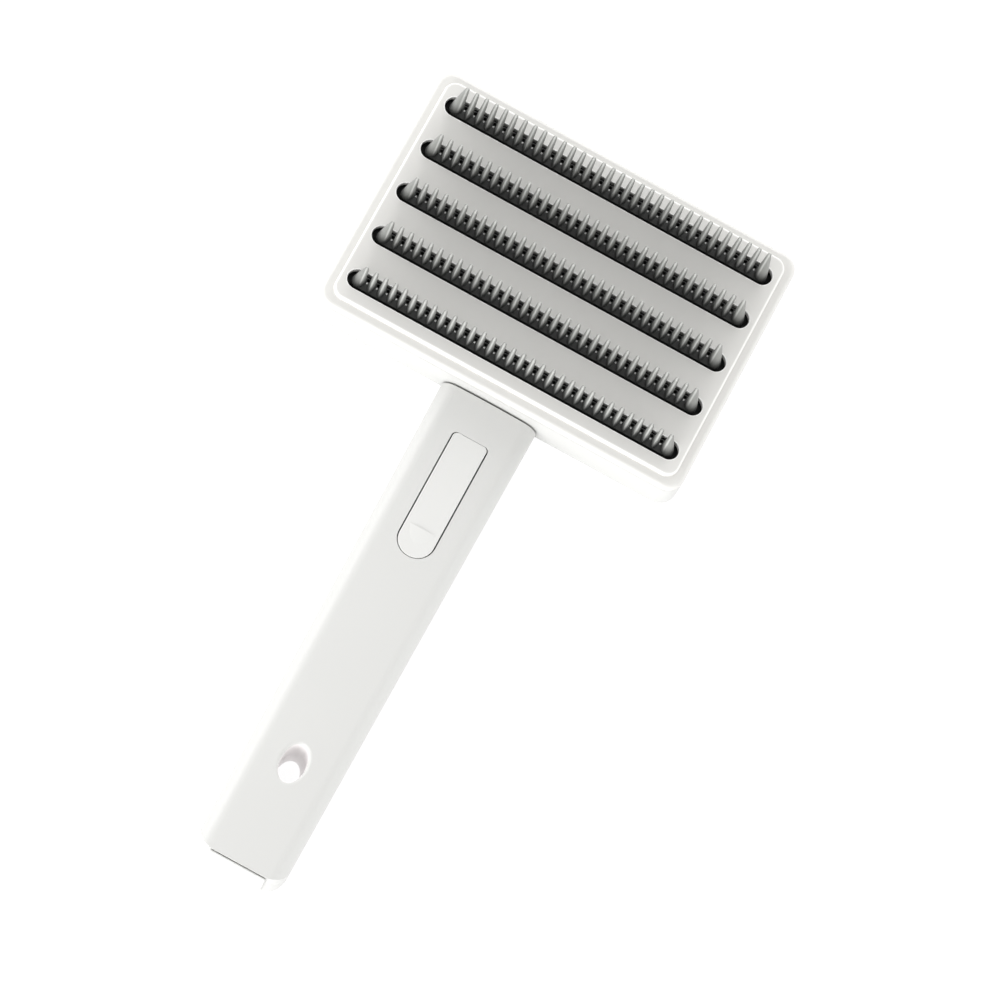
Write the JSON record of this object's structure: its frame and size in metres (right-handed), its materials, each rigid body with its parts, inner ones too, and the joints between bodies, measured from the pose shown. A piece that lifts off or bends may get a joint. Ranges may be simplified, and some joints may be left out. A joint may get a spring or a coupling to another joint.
{
  "type": "slicker brush",
  "caption": "Self-cleaning slicker brush: slotted push plate around rows of comb teeth, raised by a rocker button in a straight handle with an oval hanging hole.",
  "frame": {"origin": "centre of the head's flat back face, on which the brush lies", "axes": "+X along the comb rows, +Y from the handle towards the head, +Z out of the teeth"},
  "size_m": [0.105, 0.2121, 0.0364],
  "materials": {
    "white_shell": "white satin injection-moulded plastic",
    "white_plate": "white satin injection-moulded plastic",
    "white_button": "white smooth satin plastic",
    "white_cap": "white plastic",
    "comb_grey": "mid grey satin plastic",
    "carrier_grey": "charcoal matte plastic",
    "lever_grey": "grey filled nylon",
    "acetal": "natural acetal",
    "steel": "zinc-plated steel",
    "spring_steel": "drawn spring wire",
    "rubber_stop": "black rubber"
  },
  "bodies": {
    "brush": {"head_tub": "white_shell", "comb_carrier": "carrier_grey", "comb_strip_1": "comb_grey", "comb_strip_2": "comb_grey", "comb_strip_3": "comb_grey", "comb_strip_4": "comb_grey", "comb_strip_5": "comb_grey", "carrier_screws": "steel", "strip_screws": "steel", "handle_front_shell": "white_shell", "handle_rear_shell": "white_shell", "handle_screws": "steel", "screw_caps": "white_cap", "pivot_pin": "steel", "pivot_washers": "acetal", "button_stop": "rubber_stop", "return_spring_1": "spring_steel", "return_spring_2": "spring_steel", "return_spring_3": "spring_steel", "return_spring_4": "spring_steel"},
    "plate": {"push_plate": "white_plate", "lift_foot": "acetal", "post_washers": "steel"},
    "lever": {"eject_lever": "lever_grey", "thumb_button": "white_button", "button_screws": "steel"}
  },
  "joints": [
    {"name": "plate_slide", "type": "slide", "parent": "brush", "child": "plate", "axis": [0, 0, 1], "range_m": [0, 0.0108], "stiffness_N_per_m": 150, "springref_m": -0.006, "deforming": ["return_spring_1", "return_spring_2", "return_spring_3", "return_spring_4"]},
    {"name": "button_press", "type": "hinge", "parent": "brush", "child": "lever", "pos_m": [0, -0.0466, 0.0102], "axis": [1, 0, 0], "range_deg": [0, 11.36]}
  ],
  "couplings": [
    {"joint": "button_press", "follows": "plate_slide", "rad_per_m": 18.3}
  ]
}
